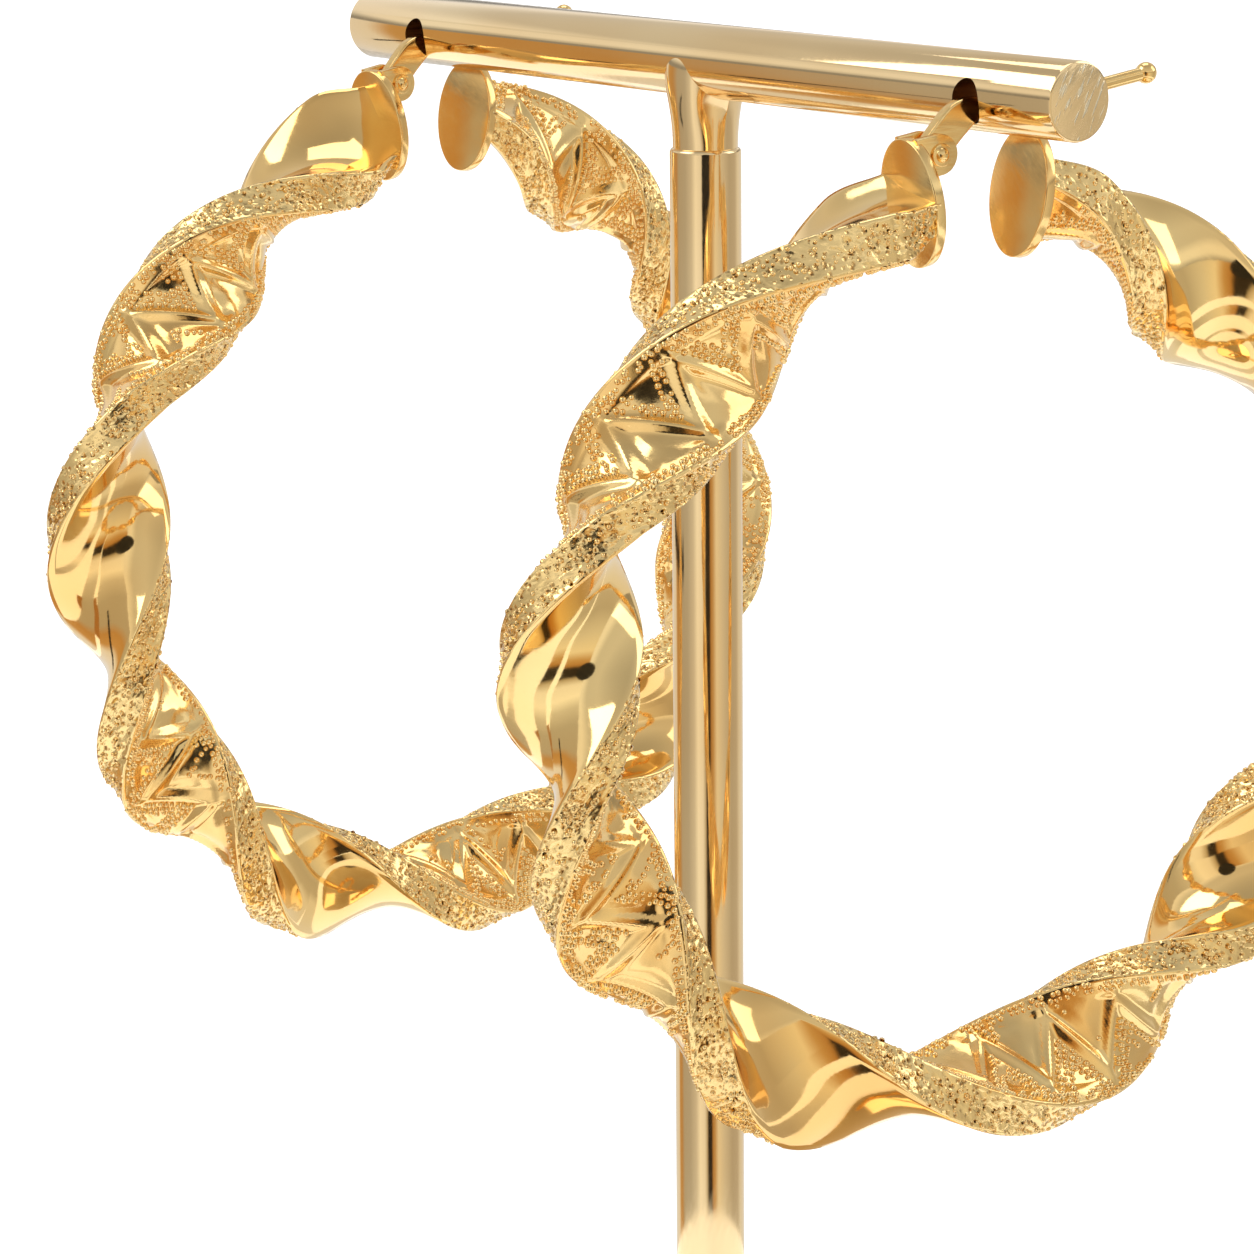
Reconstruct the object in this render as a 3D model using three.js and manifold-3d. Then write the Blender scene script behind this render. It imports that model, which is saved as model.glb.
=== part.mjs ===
import * as THREE from 'three';
import { mergeVertices } from 'three/addons/utils/BufferGeometryUtils.js';
import Module from 'manifold-3d';

// A pair of twisted hoop earrings on a T-bar stand, in millimetres.
// +Z is up, Y runs along the bar and X across it, in the plane of each hoop.
// The origin is the centre of the foot's underside.

// Stand
const footDiameter = 60;
const footThickness = 5;
const footBevel = 0.8;
const barHeight = 100;
const barFrontReach = 33.3;
const barBackReach = 36.2;
const barDiameter = 4.5;
const barBevel = 0.15;
const postDiameter = 4.4;
const socketDepth = 3;
const seatGap = 0.1;

// Soldered saddle between the post and the bar
const neckDiameter = 4;
const neckDrop = 5.3;
const flareDrop = 3.45;
const flareDiameter = 4.6;
const saddleWall = 0.35;
const lapDrop = 0.9;
const lobeWidth = 1.5;
const lobeDrop = 0.7;
const lobeRise = 0.6;

// Hoops, measured on the centreline of the tube, from the hole in the bar that each hangs from
const hoopDiameter = 53;
const hoopBelow = 5.5;
const hoopShift = -1.6;
const hingeAngle = 8.5;
const catchAngle = 7.7;
const shoulderDip = 1.5;
const shoulderSweep = 58;
const frontHoopY = -26.4;
const backHoopY = 28.3;
const frontHoopYaw = -6;
const backHoopYaw = 4.5;

// Twisted rectangular tube
const tubeWidth = 7.4;
const tubeThickness = 2.8;
const tubeWall = 0.35;
const dishDepth = 0.25;
const keyCount = 36;
const keyWidth = 1.5;
const keySwing = 2.1;
const keyHeight = 0.2;
const keyFlank = 0.15;
const stationsPerKey = 4;
const endLength = 3.5;
const endScale = 0.7;

// How far the section of each hoop has turned, in degrees, at equal steps along the tube.
// Each is twisted by hand, so the two differ a little.
const twistRows = [
  { front: 75, back: 30 },
  { front: 240, back: 245 },
  { front: 515, back: 488 },
  { front: 735, back: 732 },
  { front: 905, back: 948 },
  { front: 1155, back: 1200 },
  { front: 1340, back: 1455 },
  { front: 1565, back: 1700 },
];

// End caps
const capHeight = 7.4;
const capWidth = 5.4;
const capThickness = 0.65;
const ventDiameter = 0.6;
const catchWidth = 0.9;
const catchDepth = 0.35;

// Hinge on one cap
const rivetReach = 1.45;
const rivetRise = 2.5;
const earRadius = 1.15;
const earThickness = 0.5;
const hingeClearance = 0.2;
const shankDiameter = 0.8;
const shankClearance = 0.1;
const headDiameter = 1.3;
const headHeight = 0.5;

// Ear wire: a flat tab at the rivet narrows to a round wire through the bar, with a ball at its end
const tabThickness = 0.8;
const tabWidth = 1.9;
const tabEndRadius = 1;
const tabShare = 0.5;
const wireLap = 0.05;
const wireDiameter = 0.78;
const entryDrop = 0.7;
const wireDrop = 0.35;
const ballReach = 10.6;
const ballRise = 0.85;
const ballDiameter = 1.25;
const holeDrop = 0.35;
const holeWidth = 2.2;
const holeHeight = 2.6;

// Colours and roughness of the two golds
const hoopColor = 0xe6b65c;
const hoopRoughness = 0.18;
const standColor = 0xdcc08a;
const standRoughness = 0.15;

// Facets
const barSides = 24;
const roundSides = 12;
const wireSides = 8;
const wirePoints = 20;
const wireSteps = 10;
const domeSteps = 3;
const tabSteps = 6;

const wasm = await Module();
wasm.setup();

const hoopRadius = hoopDiameter / 2;
const hoopDrop = hoopRadius + hoopBelow;
const hoopSweep = 360 - hingeAngle - catchAngle;
const tubeLength = hoopRadius * THREE.MathUtils.degToRad(hoopSweep);
const barRadius = barDiameter / 2;
const tiny = 1e-6;

// A closed geometry as a solid that can be joined and cut.
function solid(geometry) {
  const shell = new THREE.BufferGeometry();
  shell.setAttribute('position', geometry.getAttribute('position'));
  shell.setIndex(geometry.index);
  const merged = mergeVertices(shell, 1e-4);
  const vertProperties = merged.getAttribute('position').array;
  const triVerts = new Uint32Array(merged.index.array);
  return new wasm.Manifold(new wasm.Mesh({ numProp: 3, vertProperties, triVerts }));
}

// A named mesh of a solid.
function piece(name, body, material) {
  const mesh = body.getMesh();
  const geometry = new THREE.BufferGeometry();
  geometry.setAttribute('position', new THREE.BufferAttribute(mesh.vertProperties, 3));
  geometry.setIndex(new THREE.BufferAttribute(mesh.triVerts, 1));
  geometry.computeVertexNormals();
  const made = new THREE.Mesh(geometry, material);
  made.name = name;
  return made;
}

// A gold of a colour and a roughness.
function gold(color, roughness) {
  return new THREE.MeshStandardMaterial({ color, roughness, metalness: 1 });
}

// An outline in the XZ plane as a plate, centred on the plane y = middle.
function plate(outline, thickness, middle) {
  const geometry = new THREE.ExtrudeGeometry(outline, {
    depth: thickness,
    bevelEnabled: false,
    curveSegments: roundSides / 2,
  });
  geometry.translate(0, 0, -thickness / 2);
  geometry.rotateX(Math.PI / 2);
  return geometry.translate(0, middle, 0);
}

// A round rod along Y, centred on the plane y = 0.
function rod(diameter, length, sides) {
  return new THREE.CylinderGeometry(diameter / 2, diameter / 2, length, sides);
}

// Radius and height pairs, from the bottom up, turned about Z.
function turned(profile, sides) {
  const points = profile.map(([radius, height]) => new THREE.Vector2(radius, height));
  return new THREE.LatheGeometry(points, sides).rotateX(Math.PI / 2);
}

// How far the centreline lies from the hoop's centre. It dips a little next to each cap.
function centreReach(angle) {
  const fromCap = Math.min(angle - hingeAngle, 360 - catchAngle - angle);
  const share = THREE.MathUtils.clamp(fromCap / shoulderSweep, 0, 1);
  return hoopRadius - shoulderDip * Math.sin(share * Math.PI);
}

// The frame of the hoop's centreline at an angle from the top, towards -X first.
// Its x axis points out of the hoop, y along +Y and z along the tube.
function stationFrame(angle) {
  const turn = THREE.MathUtils.degToRad(angle);
  const out = new THREE.Vector3(-Math.sin(turn), 0, Math.cos(turn));
  const side = new THREE.Vector3(0, 1, 0);
  const along = new THREE.Vector3().crossVectors(out, side);
  const frame = new THREE.Matrix4().makeBasis(out, side, along);
  return frame.setPosition(out.multiplyScalar(centreReach(angle)));
}

// The frame of the hinge: x points from the cap into the gap, y along +Y and z out of the hoop.
function hingeFrame() {
  return stationFrame(hingeAngle).multiply(new THREE.Matrix4().makeRotationY(Math.PI / 2));
}

// The place of the raised key across its face, as a share of its swing.
function keyPlace(share) {
  const phase = (share * keyCount) % 1;
  return 1 - 4 * Math.abs(phase - 0.5);
}

// The tube's section narrows to the caps at both ends.
function sectionScale(along) {
  const fromEnd = Math.min(along, tubeLength - along);
  return THREE.MathUtils.lerp(endScale, 1, THREE.MathUtils.smoothstep(fromEnd, 0, endLength));
}

// Moves a point of the straight tube onto the hoop. The face at +y carries the key.
function ontoHoop(point, twist) {
  const share = point.z / tubeLength;
  const onKey = point.y > tubeThickness / 2 - tiny && Math.abs(point.x) < tubeWidth / 2 - tiny;
  const across = onKey ? point.x + keySwing * keyPlace(share) : point.x;
  const scale = sectionScale(point.z);
  const turn = THREE.MathUtils.degToRad(twist.getPoint(share).y);
  const twisted = new THREE.Vector3(
    scale * (across * Math.cos(turn) - point.y * Math.sin(turn)),
    scale * (across * Math.sin(turn) + point.y * Math.cos(turn)),
    0,
  );
  return twisted.applyMatrix4(stationFrame(hingeAngle + hoopSweep * share));
}

// The tube's section: a dished polished face at -y, the raised key at +y, and a thin wall all round.
function tubeSection() {
  const half = tubeWidth / 2;
  const face = tubeThickness / 2;
  const section = new THREE.Shape();
  section.moveTo(-half, -face);
  section.lineTo(0, dishDepth - face);
  section.lineTo(half, -face);
  section.lineTo(half, face);
  section.lineTo(keyWidth / 2 + keyFlank, face);
  section.lineTo(keyWidth / 2, face + keyHeight);
  section.lineTo(-keyWidth / 2, face + keyHeight);
  section.lineTo(-keyWidth / 2 - keyFlank, face);
  section.lineTo(-half, face);
  section.closePath();
  const bore = new THREE.Path();
  bore.moveTo(tubeWall - half, tubeWall - face);
  bore.lineTo(tubeWall - half, face - tubeWall);
  bore.lineTo(half - tubeWall, face - tubeWall);
  bore.lineTo(half - tubeWall, tubeWall - face);
  bore.lineTo(0, tubeWall + dishDepth - face);
  bore.closePath();
  section.holes.push(bore);
  return section;
}

// The straight tube, twisted and bent to the hoop.
function twistedTube(side) {
  const twist = new THREE.SplineCurve(twistRows.map((row, i) => new THREE.Vector2(i, row[side])));
  const geometry = new THREE.ExtrudeGeometry(tubeSection(), {
    depth: tubeLength,
    steps: keyCount * stationsPerKey,
    bevelEnabled: false,
  });
  const position = geometry.getAttribute('position');
  const point = new THREE.Vector3();
  for (let i = 0; i < position.count; i += 1) {
    point.fromBufferAttribute(position, i);
    position.setXYZ(i, ...ontoHoop(point, twist));
  }
  return solid(geometry);
}

// An oval cap across the end of the tube, square to the centreline.
function endCap(angle) {
  const oval = new THREE.Shape();
  oval.absellipse(0, 0, capHeight / 2, capWidth / 2, 0, 2 * Math.PI);
  const geometry = new THREE.ExtrudeGeometry(oval, {
    depth: capThickness,
    bevelEnabled: false,
    curveSegments: roundSides,
  });
  geometry.translate(0, 0, -capThickness / 2);
  return solid(geometry.applyMatrix4(stationFrame(angle)));
}

// The small hole in the hinge cap that lets the hollow tube breathe.
function vent() {
  const geometry = rod(ventDiameter, 2 * capThickness, wireSides).rotateX(Math.PI / 2);
  return solid(geometry.applyMatrix4(stationFrame(hingeAngle)));
}

// The shallow notch in the top of the other cap, where the closed ear wire rests.
function catchNotch() {
  const geometry = new THREE.BoxGeometry(2 * catchDepth, catchWidth, 2 * capThickness);
  geometry.translate(capHeight / 2, 0, 0);
  return solid(geometry.applyMatrix4(stationFrame(-catchAngle)));
}

// The middle of the rivet, from the hoop's centre.
function rivetPoint() {
  return new THREE.Vector3(rivetReach, 0, rivetRise).applyMatrix4(hingeFrame());
}

// One rounded ear of the hinge bracket, from the cap to the rivet.
function ear(side) {
  const outline = new THREE.Shape();
  outline.moveTo(0, rivetRise - earRadius);
  outline.lineTo(rivetReach, rivetRise - earRadius);
  outline.absarc(rivetReach, rivetRise, earRadius, -Math.PI / 2, Math.PI / 2);
  outline.lineTo(0, rivetRise + earRadius);
  const middle = side * (tabThickness / 2 + hingeClearance + earThickness / 2);
  return solid(plate(outline, earThickness, middle).applyMatrix4(hingeFrame()));
}

// A round hole for the rivet through both ears and the tab.
function shankHole() {
  const length = 2 * (tabThickness + hingeClearance + 2 * earThickness);
  const geometry = rod(shankDiameter + 2 * shankClearance, length, roundSides);
  return solid(geometry.translate(...rivetPoint()));
}

// The hollow hoop with its caps and hinge ears soldered on.
function hoopBody(side) {
  const caps = endCap(hingeAngle).add(endCap(-catchAngle));
  const bracket = ear(-1).add(ear(1)).subtract(shankHole());
  return twistedTube(side).add(caps).add(bracket).subtract(vent()).subtract(catchNotch());
}

// The rivet: a shank with a domed head outside each ear.
function rivet() {
  const reach = tabThickness / 2 + hingeClearance + earThickness + seatGap;
  const dome = [[0, 0]];
  for (let i = 0; i <= domeSteps; i += 1) {
    const angle = (i / domeSteps) * (Math.PI / 2);
    dome.push([(headDiameter / 2) * Math.cos(angle), headHeight * Math.sin(angle)]);
  }
  let body = solid(rod(shankDiameter, 2 * reach + headHeight, roundSides));
  for (const side of [-1, 1]) {
    const head = turned(dome, roundSides).translate(0, 0, reach).rotateX(-side * Math.PI / 2);
    body = body.add(solid(head));
  }
  return body.translate(rivetPoint().toArray());
}

// The ear wire's path in the plane of its hoop, from the rivet through the bar to the ball.
function wirePath() {
  const hole = new THREE.Vector3(-hoopShift, 0, hoopDrop - holeDrop);
  const along = (reach, rise) => hole.clone().add(new THREE.Vector3(reach, 0, rise));
  return new THREE.CatmullRomCurve3([
    rivetPoint(),
    along(-barRadius, -entryDrop),
    along(0, -wireDrop),
    along(barRadius, -wireDrop),
    along(ballReach, ballRise),
  ], false, 'centripetal');
}

// The flat tab: its outline follows the path from a round end at the rivet and narrows to the wire.
function tab(path) {
  const upper = [];
  const lower = [];
  for (let i = 0; i <= tabSteps; i += 1) {
    const share = i / tabSteps;
    const point = path.getPoint(tabShare * share);
    const along = path.getTangent(tabShare * share);
    const half = THREE.MathUtils.lerp(tabWidth, wireDiameter, share ** 2) / 2;
    upper.push(new THREE.Vector2(point.x - half * along.z, point.z + half * along.x));
    lower.unshift(new THREE.Vector2(point.x + half * along.z, point.z - half * along.x));
  }
  const outline = new THREE.Shape([...upper, ...lower]);
  const end = rod(2 * tabEndRadius, tabThickness, roundSides).translate(...rivetPoint());
  return solid(plate(outline, tabThickness, 0)).add(solid(end));
}

// The ear wire: tab, round wire and ball, soldered.
function earWire() {
  const path = wirePath();
  const start = tabShare - wireLap;
  const points = [];
  for (let i = 0; i <= wirePoints; i += 1) {
    points.push(path.getPoint(THREE.MathUtils.lerp(start, 1, i / wirePoints)));
  }
  const thin = new THREE.CatmullRomCurve3(points);
  const round = new THREE.Shape().absarc(0, 0, wireDiameter / 2, 0, 2 * Math.PI);
  const wire = new THREE.ExtrudeGeometry(round, {
    steps: wireSteps,
    curveSegments: wireSides / 2,
    extrudePath: thin,
    bevelEnabled: false,
  });
  const ball = new THREE.SphereGeometry(ballDiameter / 2, roundSides, roundSides / 2);
  ball.translate(...path.getPoint(1));
  return tab(path).subtract(shankHole()).add(solid(wire)).add(solid(ball));
}

// One earring about the hole that it hangs from.
function earring(side, y, yaw) {
  const hung = new THREE.Group();
  hung.add(piece(`hoop_${side}`, hoopBody(side), gold(hoopColor, hoopRoughness)));
  hung.add(piece(`ear_wire_${side}`, earWire(), gold(hoopColor, hoopRoughness)));
  hung.add(piece(`hinge_rivet_${side}`, rivet(), gold(hoopColor, hoopRoughness)));
  hung.position.set(hoopShift, 0, -hoopDrop);
  const swung = new THREE.Group();
  swung.add(hung);
  swung.position.set(0, y, barHeight);
  swung.rotation.z = THREE.MathUtils.degToRad(yaw);
  return swung;
}

// The cross bar with bevelled ends.
function crossBar() {
  const ring = barRadius - barBevel;
  const bar = turned([
    [0, -barFrontReach],
    [ring, -barFrontReach],
    [barRadius, barBevel - barFrontReach],
    [barRadius, barBackReach - barBevel],
    [ring, barBackReach],
    [0, barBackReach],
  ], barSides);
  return solid(bar.rotateX(-Math.PI / 2));
}

// The oval hole through the bar for one ear wire.
function wireHole(y) {
  const oval = new THREE.Shape();
  oval.absellipse(y, -holeDrop, holeWidth / 2, holeHeight / 2, 0, 2 * Math.PI);
  const geometry = plate(oval, 2 * barDiameter, 0);
  return solid(geometry.rotateZ(Math.PI / 2));
}

// The saddle: a flared collar, cut to a rounded tongue that laps up both flanks of the bar.
function saddle() {
  const lap = barRadius + saddleWall;
  const neck = neckDiameter / 2;
  const collar = turned([
    [0, -neckDrop - seatGap],
    [neck, -neckDrop - seatGap],
    [neck, -flareDrop],
    [flareDiameter / 2, -barRadius],
    [lap, -lapDrop],
    [lap, lobeRise],
    [0, lobeRise],
  ], barSides);
  const tongue = new THREE.Shape();
  tongue.moveTo(-neck, -neckDrop - seatGap);
  tongue.lineTo(neck, -neckDrop - seatGap);
  tongue.lineTo(neck, -barRadius);
  tongue.lineTo(lobeWidth / 2, -lobeDrop);
  tongue.absarc(0, lobeRise - lobeWidth / 2, lobeWidth / 2, 0, Math.PI);
  tongue.lineTo(-lobeWidth / 2, -lobeDrop);
  tongue.lineTo(-neck, -barRadius);
  const across = plate(tongue, 2 * barDiameter, 0).rotateZ(Math.PI / 2);
  return solid(collar).intersect(solid(across));
}

// Bar, saddle and post, soldered into one.
function tee() {
  const heel = footThickness - socketDepth + seatGap - barHeight;
  const post = turned([
    [0, heel],
    [postDiameter / 2, heel],
    [postDiameter / 2, -neckDrop],
    [0, -neckDrop],
  ], barSides);
  const body = crossBar().add(saddle()).add(solid(post));
  return body.subtract(wireHole(frontHoopY)).subtract(wireHole(backHoopY));
}

// The round foot with the socket that the post stands in.
function foot() {
  const outer = footDiameter / 2;
  const socket = postDiameter / 2 + seatGap;
  const bottom = footThickness - socketDepth;
  return solid(turned([
    [0, 0],
    [outer, 0],
    [outer, footThickness - footBevel],
    [outer - footBevel, footThickness],
    [socket, footThickness],
    [socket, bottom],
    [0, bottom],
  ], 2 * barSides));
}

const stand = new THREE.Group();
const teeMesh = piece('stand_tee', tee(), gold(standColor, standRoughness));
teeMesh.position.z = barHeight;
stand.add(teeMesh);
stand.add(piece('stand_foot', foot(), gold(standColor, standRoughness)));

const group = new THREE.Group();
group.add(stand);
group.add(earring('front', frontHoopY, frontHoopYaw));
group.add(earring('back', backHoopY, backHoopYaw));

export default group;
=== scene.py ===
import math

import bpy
import numpy as np
from mathutils import Matrix, Vector


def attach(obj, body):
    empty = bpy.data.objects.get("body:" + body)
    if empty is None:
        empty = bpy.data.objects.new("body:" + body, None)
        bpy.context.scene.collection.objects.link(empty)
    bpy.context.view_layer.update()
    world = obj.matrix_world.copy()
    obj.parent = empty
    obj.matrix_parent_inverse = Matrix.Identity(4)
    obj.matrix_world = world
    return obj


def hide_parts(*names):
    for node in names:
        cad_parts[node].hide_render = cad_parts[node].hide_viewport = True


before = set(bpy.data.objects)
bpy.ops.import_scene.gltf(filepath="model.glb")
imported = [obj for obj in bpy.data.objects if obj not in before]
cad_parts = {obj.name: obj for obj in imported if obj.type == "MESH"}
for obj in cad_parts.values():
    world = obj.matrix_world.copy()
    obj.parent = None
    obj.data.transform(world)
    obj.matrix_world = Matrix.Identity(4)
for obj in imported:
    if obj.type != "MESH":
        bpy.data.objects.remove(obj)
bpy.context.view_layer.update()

# A pair of twisted hoop earrings on a T-bar stand. Sizes are in millimetres, and meshes in metres.
mm = 0.001

# Camera, in the frame of the photograph
camera_place = (-155.95, -200.06, 123.35)
camera_azimuth = -36.79
camera_elevation = 13.05
camera_roll = -0.524
camera_lens = 118.8
sensor_width = 36

# Stand
foot_diameter = 60
foot_thickness = 5
foot_bevel = 0.8
bar_height = 100
bar_front_reach = 33.3
bar_back_reach = 36.2
bar_diameter = 4.5
bar_bevel = 0.15
post_diameter = 4.4
post_lip = 0.25
socket_depth = 2.9

# Soldered saddle between the post and the bar
neck_diameter = 4
neck_drop = 5.3
neck_overlap = 0.1
neck_rise = 2.4
saddle_wall = 0.35
saddle_length = 4.7
lobe_turn = 104
lap_depth = 0.04
swell_share = 0.35
swell_walls = 2.2
swell_width = 0.92

# Hoops, measured from the hole in the bar that each hangs from
hoop_diameter = 53
hoop_below = 5.5
hoop_shift = -1.6
hinge_angle = 8.5
catch_angle = 7.7
shoulder_dip = 1.5
shoulder_sweep = 58
hoop_y = {"front": -26.4, "back": 28.3}
hoop_yaw = {"front": -6, "back": 4.5}

# Twisted rectangular tube
tube_width = 7.4
tube_thickness = 2.8
corner = 0.12
dish_depth = 0.25
rim_width = 0.16
border_width = 1.1
border_ramp = 0.3
ground_depth = 0.12
pit_share = 0.18
pit_depth = 0.2
shallowest_pit = 0.5
point_share = 0.1
point_height = 0.035
key_count = 36
key_swing = 2.1
fold_height = 0.34
fold_reach = 0.56
pillow_height = 0.14
end_length = 3.5
end_scale = 0.7
stations = 900
dish_points = 17
edge_points = 15
key_points = 45

# How far the section of each hoop has turned, in degrees, at equal steps along the tube
twist_rows = [
    {"front": 75, "back": 30},
    {"front": 240, "back": 245},
    {"front": 515, "back": 488},
    {"front": 735, "back": 732},
    {"front": 905, "back": 948},
    {"front": 1155, "back": 1200},
    {"front": 1340, "back": 1455},
    {"front": 1565, "back": 1700},
]

# Granulation beads
bead_radius = 0.205
bead_pitch = 0.39
bead_sides = 7
bead_rings = (-0.2, 0.7)
bead_sizes = (0.8, 1.12)
bead_share = 0.94
bead_drift = 0.05
border_rows = (3.32, 2.95)
border_share = 0.8
border_drift = 0.07
border_overlap = 0.1
fold_rows = (0.7, 1.06, 1.42)
fold_share = 0.85
fold_drift = 0.06
fold_spread = 1.02
fold_clearance = 0.12
sparse_share = 0.18
patch_length = 1.5
edge_bead_radius = 0.155
edge_bead_sizes = (0.55, 1.15)
edge_bead_share = 0.7
edge_bead_pitch = 0.46
edge_bead_reach = 0.48
edge_bead_drift = (0.14, 0.16)

# End caps
cap_height = 7.4
cap_width = 5.4
cap_thickness = 0.65
cap_bevel = 0.1

# Hinge and ear wire
rivet_reach = 1.45
rivet_rise = 2.5
ear_radius = 1.15
ear_thickness = 0.5
ear_bevel = 0.06
hinge_clearance = 0.2
head_diameter = 1.3
head_height = 0.48
dome_diameter = 0.95
ring_height = 0.2
ring_bevel = 0.05
shank_diameter = 0.76
tab_thickness = 0.8
tab_width = 1.9
tab_end_radius = 1
tab_length = 2.4
taper_length = 2.4
taper_power = 1.6
nose_length = 0.05
wire_diameter = 0.78
entry_drop = 0.7
wire_drop = 0.35
ball_reach = 10.6
ball_rise = 0.85
ball_diameter = 1.25
hole_drop = 0.35
hole_width = 2.2
hole_height = 2.6

hoop_radius = hoop_diameter / 2
hoop_drop = hoop_radius + hoop_below
hoop_sweep = 360 - hinge_angle - catch_angle
tube_length = hoop_radius * math.radians(hoop_sweep)
bar_radius = bar_diameter / 2
half_width = tube_width / 2
half_thickness = tube_thickness / 2
fold_slope = 4 * key_swing * key_count / tube_length
fold_lean = 1 / math.hypot(1, fold_slope)
bead_margin = end_length * 0.5
edge_bead_margin = end_length * 0.4
random = np.random.default_rng(7)


# Places


def hang(side):
    """The place of a hoop's centre in the frame, in millimetres."""
    move = Matrix.Translation((0, hoop_y[side], bar_height))
    turn = Matrix.Rotation(math.radians(hoop_yaw[side]), 4, "Z")
    return move @ turn @ Matrix.Translation((hoop_shift, 0, -hoop_drop))


def station(angle):
    """The frame of the tube's centreline at an angle from the top, towards -X first."""
    turn = math.radians(angle)
    out = Vector((-math.sin(turn), 0, math.cos(turn)))
    side = Vector((0, 1, 0))
    along = out.cross(side)
    columns = Matrix((out, side, along)).transposed().to_4x4()
    return Matrix.Translation(out * hoop_radius) @ columns


def hinge_frame():
    """x points from the cap into the gap, y along +Y and z out of the hoop."""
    return station(hinge_angle) @ Matrix.Rotation(math.radians(90), 4, "Y")


def rivet_point():
    """The middle of the hinge, from the hoop's centre."""
    return hinge_frame() @ Vector((rivet_reach, 0, rivet_rise))


def turn_of(side, share):
    """The twist at each share of the tube's length, smoothed through the rows."""
    rows = np.array([row[side] for row in twist_rows], float)
    last = len(rows) - 1
    place = np.clip(share, 0, 1) * last
    start = np.minimum(place.astype(int), last - 1)
    w = place - start
    p0 = rows[np.maximum(start - 1, 0)]
    p1 = rows[start]
    p2 = rows[start + 1]
    p3 = rows[np.minimum(start + 2, last)]
    v0 = (p2 - p0) / 2
    v1 = (p3 - p1) / 2
    bend = (2 * p1 - 2 * p2 + v0 + v1) * w + (3 * p2 - 3 * p1 - 2 * v0 - v1)
    return np.radians(bend * w * w + v0 * w + p1)


def placed(matrix, points):
    """Points moved by a matrix."""
    m = np.array(matrix)
    return points @ m[:3, :3].T + m[:3, 3]


def onto_hoop(side, x, y, z):
    """Moves points of the straight tube onto the hoop, in millimetres."""
    share = z / tube_length
    turn = turn_of(side, share)
    from_end = np.clip(np.minimum(z, tube_length - z) / end_length, 0, 1)
    size = end_scale + (1 - end_scale) * from_end**2 * (3 - 2 * from_end)
    out = size * (x * np.cos(turn) - y * np.sin(turn))
    across = size * (x * np.sin(turn) + y * np.cos(turn))
    angle = np.radians(hinge_angle + hoop_sweep * share)
    from_cap = hoop_sweep * np.minimum(share, 1 - share)
    dip = shoulder_dip * np.sin(np.pi * np.clip(from_cap / shoulder_sweep, 0, 1))
    reach = hoop_radius - dip + out
    local = np.stack([-reach * np.sin(angle), across, reach * np.cos(angle)], -1)
    return placed(hang(side), local)


# Mesh helpers


def points_of(piece):
    """A mesh's points as rows of x, y and z."""
    co = np.empty(3 * len(piece.data.vertices))
    piece.data.vertices.foreach_get("co", co)
    return co.reshape(-1, 3)


def reshape(piece, points):
    piece.data.vertices.foreach_set("co", np.asarray(points, np.float32).ravel())
    piece.data.update()


def seat(piece, matrix):
    """Moves a piece's mesh, made in millimetres, to its place in metres."""
    reshape(piece, placed(matrix, points_of(piece)) * mm)


def named(name):
    """The primitive just added, under its own name."""
    piece = bpy.context.object
    piece.name = name
    piece.data.name = name
    return piece


def grid(name, columns, rows):
    """A flat sheet of columns by rows of points from 0 to 1, to be wrapped into a shape."""
    bpy.ops.mesh.primitive_grid_add(x_subdivisions=columns - 1, y_subdivisions=rows - 1, size=1)
    piece = named(name)
    shares = points_of(piece) + [0.5, 0.5, 0]
    return piece, shares[:, 0], shares[:, 1]


def drum(name, sides, radius, depth):
    """A cylinder that stands on the middle of its height."""
    bpy.ops.mesh.primitive_cylinder_add(vertices=sides, radius=radius, depth=depth)
    return named(name)


def sphere(name, sides, radius):
    bpy.ops.mesh.primitive_uv_sphere_add(segments=sides, ring_count=sides // 2, radius=radius)
    return named(name)


def only(piece):
    """Selects this piece alone and makes it the active one."""
    bpy.ops.object.select_all(action="DESELECT")
    piece.select_set(True)
    bpy.context.view_layer.objects.active = piece


def apply(piece, kind, **settings):
    """Adds a modifier with these settings and applies it."""
    only(piece)
    modifier = piece.modifiers.new(kind.title(), kind)
    for name, value in settings.items():
        setattr(modifier, name, value)
    bpy.ops.object.modifier_apply(modifier=modifier.name)


def close(piece, gap):
    """Joins the doubled points of a wrapped sheet, fills what is open and faces it outwards."""
    only(piece)
    bpy.ops.object.mode_set(mode="EDIT")
    bpy.ops.mesh.select_all(action="SELECT")
    bpy.ops.mesh.remove_doubles(threshold=gap)
    bpy.ops.mesh.select_all(action="DESELECT")
    bpy.ops.mesh.select_mode(type="VERT")
    bpy.ops.mesh.select_non_manifold()
    bpy.ops.mesh.edge_face_add()
    bpy.ops.mesh.select_all(action="SELECT")
    bpy.ops.mesh.normals_make_consistent(inside=False)
    bpy.ops.object.mode_set(mode="OBJECT")


def smooth(piece, angle=35):
    only(piece)
    bpy.ops.object.shade_smooth_by_angle(angle=math.radians(angle))


def join(piece, *others):
    """Takes the other pieces into the first."""
    only(piece)
    for other in others:
        other.select_set(True)
    bpy.ops.object.join()
    return piece


def give(piece, body, finish, materials, *nodes):
    """Gives a piece its materials and its body, and hides the nodes it stands for."""
    for material in materials:
        piece.data.materials.append(material)
    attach(piece, body)
    if nodes:
        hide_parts(*nodes)


# Materials


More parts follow.
